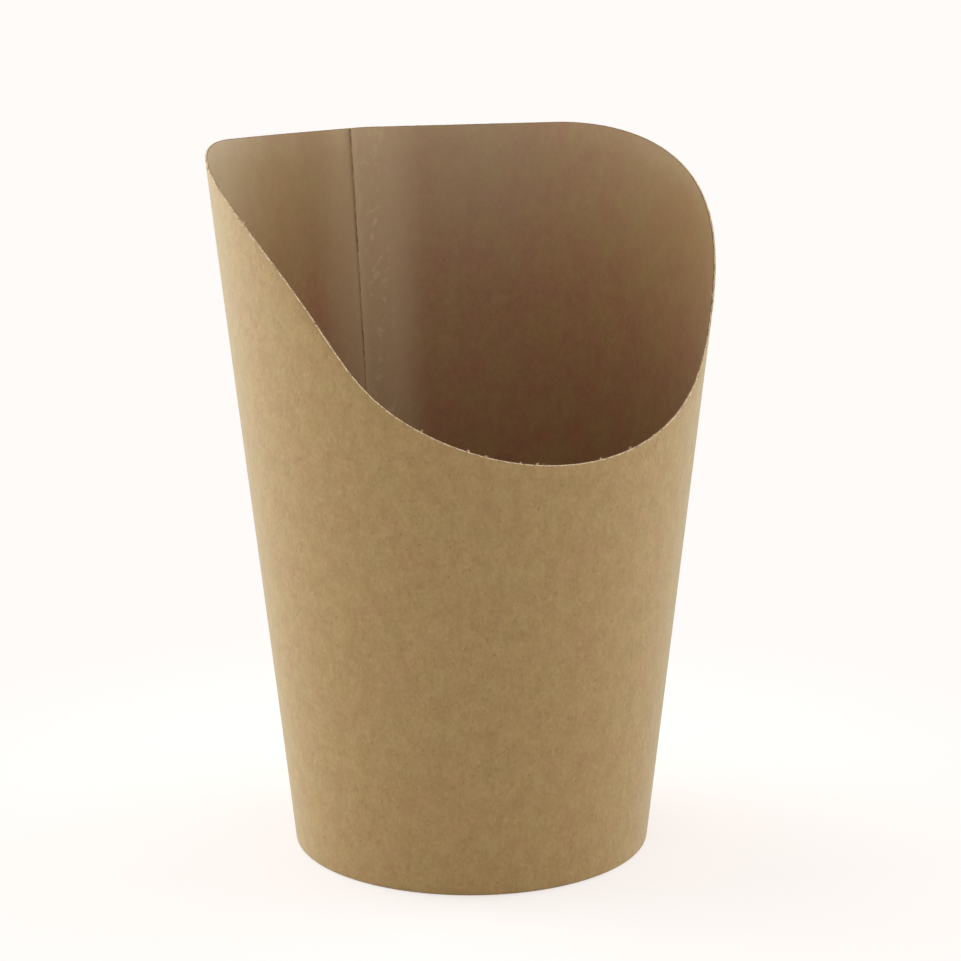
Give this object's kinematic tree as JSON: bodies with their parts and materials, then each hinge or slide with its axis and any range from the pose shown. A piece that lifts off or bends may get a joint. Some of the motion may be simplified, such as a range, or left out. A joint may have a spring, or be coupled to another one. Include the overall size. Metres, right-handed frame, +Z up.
{
  "type": "scoop cup",
  "caption": "Tapered round takeaway cup of kraft board, high at the back and scooped low at the front, with a plain cut rim, a lapped back seam and a recessed base.",
  "frame": {"origin": "centre of the foot ring, on the surface that the cup stands on", "axes": "+Z up along the axis of the tapered wall, -Y towards the low front, +Y towards the seam at the back"},
  "size_m": [0.0838, 0.0806, 0.1175],
  "materials": {
    "kraft_outside": "matte",
    "kraft_inside": "satin"
  },
  "bodies": {
    "root": {"sidewall": "kraft_outside", "base_disc": "kraft_inside"}
  },
  "joints": []
}
